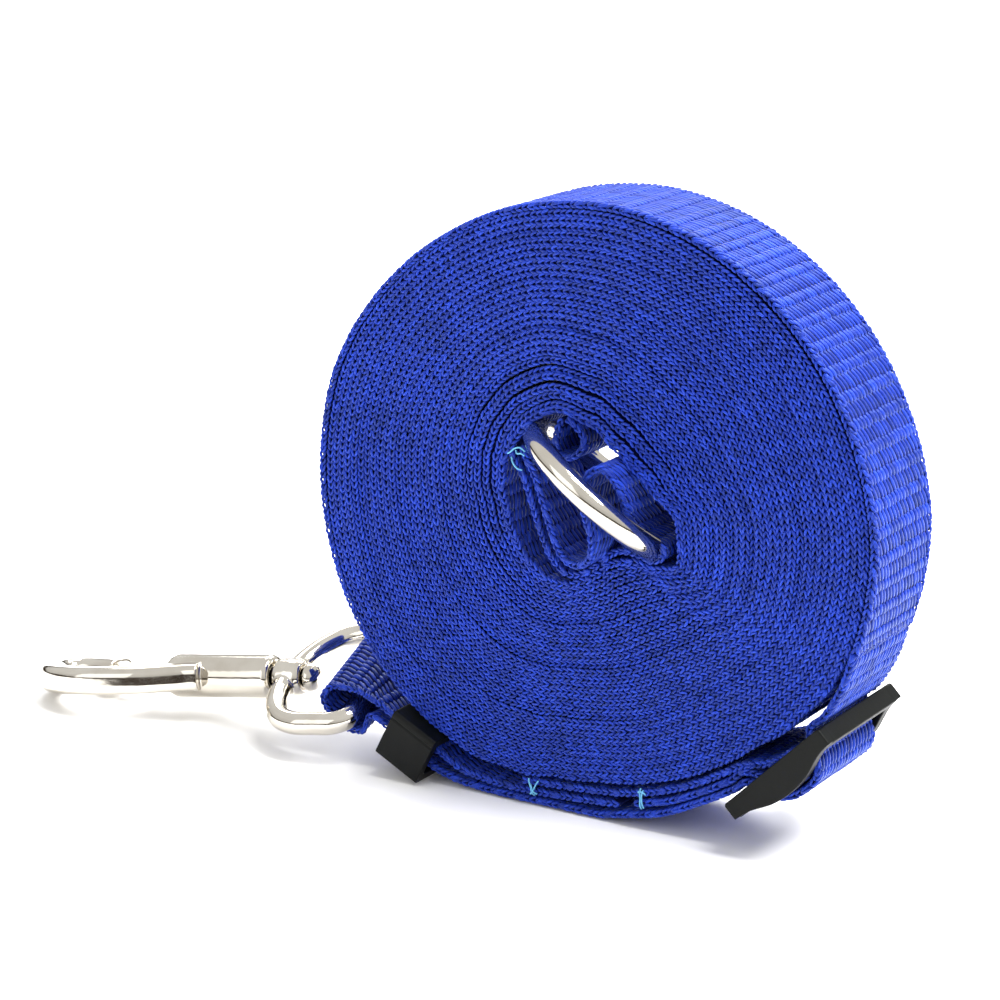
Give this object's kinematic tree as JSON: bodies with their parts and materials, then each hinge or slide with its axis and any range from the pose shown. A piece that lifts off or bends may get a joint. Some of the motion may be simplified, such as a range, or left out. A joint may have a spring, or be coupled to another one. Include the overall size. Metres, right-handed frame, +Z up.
{
  "type": "training leash",
  "caption": "Long flat webbing training leash wound into a round coil, with a sliding adjuster, a keeper, a welded ring and a swivel bolt snap.",
  "frame": {"origin": "on the surface the coil stands on, straight under the coil's centre, in the middle of the webbing's width", "axes": "+Z up, +Y along the coil's axis away from the side that shows the ring, -X towards the snap"},
  "size_m": [0.163, 0.0355, 0.0998],
  "materials": {
    "webbing": "woven nylon, royal blue",
    "thread": "bonded nylon thread, light blue",
    "plastic": "moulded, satin",
    "nickel": "nickel plated zinc, polished",
    "steel": "drawn spring wire"
  },
  "bodies": {
    "leash": {"coiled_strap": "webbing", "hook_loop_strap": "webbing", "slide_loop_strap": "webbing", "handle_strap": "webbing", "tri_glide_slide": "plastic", "strap_end_tack": "thread", "slide_loop_tack": "thread", "handle_tack": "thread"},
    "keeper": {"keeper_loop": "plastic"},
    "ring": {"handle_ring": "nickel"},
    "eye": {"swivel_eye": "nickel"},
    "snap": {"snap_body": "nickel", "swivel_rivet": "nickel", "bolt_spring": "steel"},
    "bolt": {"snap_bolt": "nickel", "bolt_knob": "nickel"}
  },
  "joints": [
    {"name": "keeper_slide", "type": "slide", "parent": "leash", "child": "keeper", "axis": [-0.891, 0, 0.454], "range_m": [0, 0.0035]},
    {"name": "ring_turn", "type": "hinge", "parent": "leash", "child": "ring", "pos_m": [0.0008, -0.0047, 0.0526], "axis": [0.5526, 0.3386, 0.7616], "continuous": true},
    {"name": "eye_swing", "type": "hinge", "parent": "leash", "child": "eye", "pos_m": [-0.04608, 0.00085, 0.01166], "axis": [-0.1195, 0.9614, 0.2479], "range_deg": [0, 60]},
    {"name": "snap_swivel", "type": "hinge", "parent": "eye", "child": "snap", "pos_m": [-0.0661, -0.0009, 0.0088], "axis": [-0.9863, -0.0863, -0.1409], "continuous": true},
    {"name": "bolt_slide", "type": "slide", "parent": "snap", "child": "bolt", "axis": [0.9863, 0.0863, 0.1409], "range_m": [0, 0.006], "stiffness_N_per_m": 250, "springref_m": -0.004, "deforming": ["bolt_spring"]}
  ]
}
